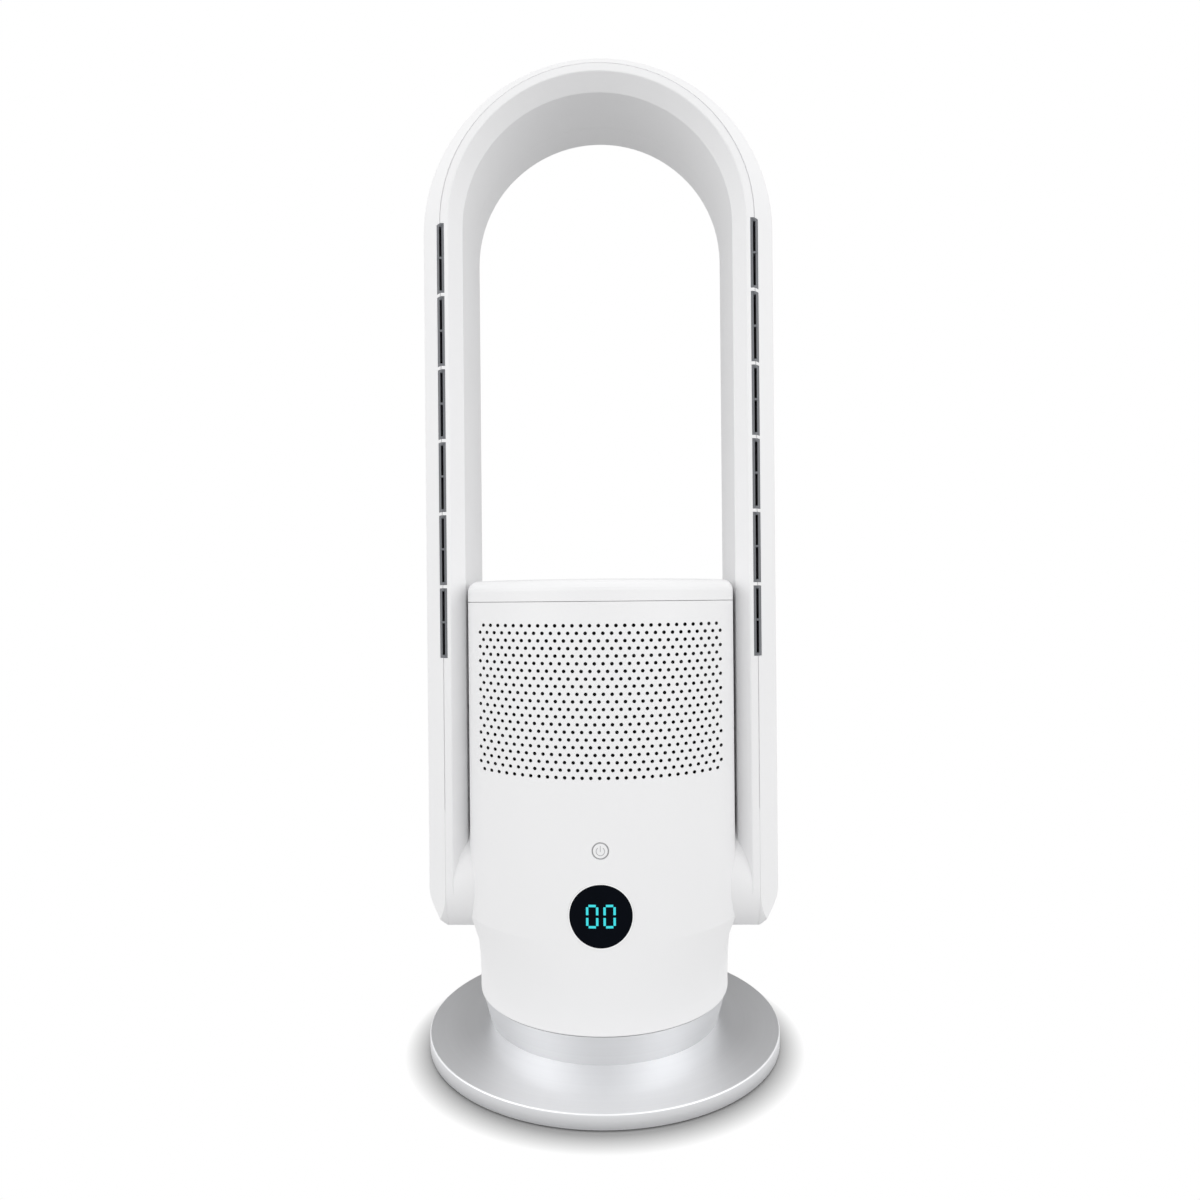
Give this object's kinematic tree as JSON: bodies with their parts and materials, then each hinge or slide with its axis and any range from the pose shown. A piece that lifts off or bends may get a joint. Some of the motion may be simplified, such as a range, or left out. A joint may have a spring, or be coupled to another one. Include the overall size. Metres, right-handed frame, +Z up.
{
  "type": "air purifier fan",
  "caption": "Bladeless tower fan and air purifier: slotted hoop and perforated filter body that swing on a weighted round base.",
  "frame": {"origin": "on the table under the base's centre, at the bottom of the rubber feet", "axes": "+Z up the tower; the front with the display faces -Y; +X to the right seen from the front"},
  "size_m": [0.24, 0.24, 0.6686],
  "materials": {
    "white_plastic": "satin moulded",
    "silver_paint": "satin silver",
    "black_window": "polished",
    "grey_plastic": "matt moulded",
    "dark_plastic": "matt moulded",
    "natural_plastic": "smooth",
    "steel": "zinc plated",
    "motor_metal": "drawn can",
    "rubber": "matt",
    "board_green": "solder mask",
    "filter_white": "pleated fibre",
    "carbon_black": "carbon cloth"
  },
  "bodies": {
    "base": {"base_cover": "silver_paint", "base_plate": "grey_plastic", "base_weight": "steel", "rubber_feet": "rubber", "base_screws": "steel", "power_inlet": "dark_plastic", "neck_collar": "silver_paint", "neck_screws": "steel", "swivel_post": "steel", "post_screws": "steel", "retaining_ring": "steel", "slide_ring": "natural_plastic", "sun_gear": "natural_plastic"},
    "head": {"turntable": "grey_plastic", "swivel_bush": "natural_plastic", "oscillation_motor": "motor_metal", "stepper_screws": "steel", "casing_screws": "steel", "panel_screws": "steel", "fan_casing": "dark_plastic", "fan_motor": "motor_metal", "motor_dampers": "rubber", "motor_screws": "steel", "inlet_ring": "dark_plastic", "inlet_grille": "dark_plastic", "front_panel": "white_plastic", "rear_panel": "white_plastic", "display_window": "black_window", "display_bezel": "white_plastic", "control_board": "board_green", "board_screws": "steel", "button_switch": "dark_plastic", "digit_module": "dark_plastic", "driver_board": "board_green", "hoop_inner_shell": "white_plastic", "hoop_outer_shell": "white_plastic", "hoop_rear_shell": "white_plastic", "hoop_screws": "steel", "left_nozzle_strip": "grey_plastic", "right_nozzle_strip": "grey_plastic", "left_arm": "white_plastic", "right_arm": "white_plastic"},
    "oscillation_pinion": {"pinion": "natural_plastic", "drive_shaft": "steel"},
    "fan_rotor": {"impeller": "dark_plastic", "motor_shaft": "steel", "impeller_nut": "steel"},
    "filter_cartridge": {"top_lid": "white_plastic", "filter_seal": "rubber", "filter_lower_frame": "dark_plastic", "carbon_sleeve": "carbon_black", "pleated_media": "filter_white", "filter_upper_frame": "dark_plastic"},
    "power_key": {"power_button": "white_plastic"}
  },
  "joints": [
    {"name": "oscillate", "type": "hinge", "parent": "base", "child": "head", "pos_m": [0, 0, 0.04], "axis": [0, 0, 1], "range_deg": [-45, 45]},
    {"name": "pinion_turn", "type": "hinge", "parent": "head", "child": "oscillation_pinion", "pos_m": [0, 0.036, 0.03], "axis": [0, 0, 1], "range_deg": [-138, 138]},
    {"name": "fan_spin", "type": "hinge", "parent": "head", "child": "fan_rotor", "pos_m": [0, 0, 0.1], "axis": [0, 0, 1], "continuous": true},
    {"name": "filter_lift", "type": "slide", "parent": "head", "child": "filter_cartridge", "axis": [0, 0, 1], "range_m": [0, 0.165]},
    {"name": "power_press", "type": "slide", "parent": "head", "child": "power_key", "axis": [0, 1, 0], "range_m": [0, 0.0008], "stiffness_N_per_m": 150, "springref_m": -0.001}
  ],
  "couplings": [
    {"joint": "pinion_turn", "follows": "oscillate", "ratio": 3}
  ]
}
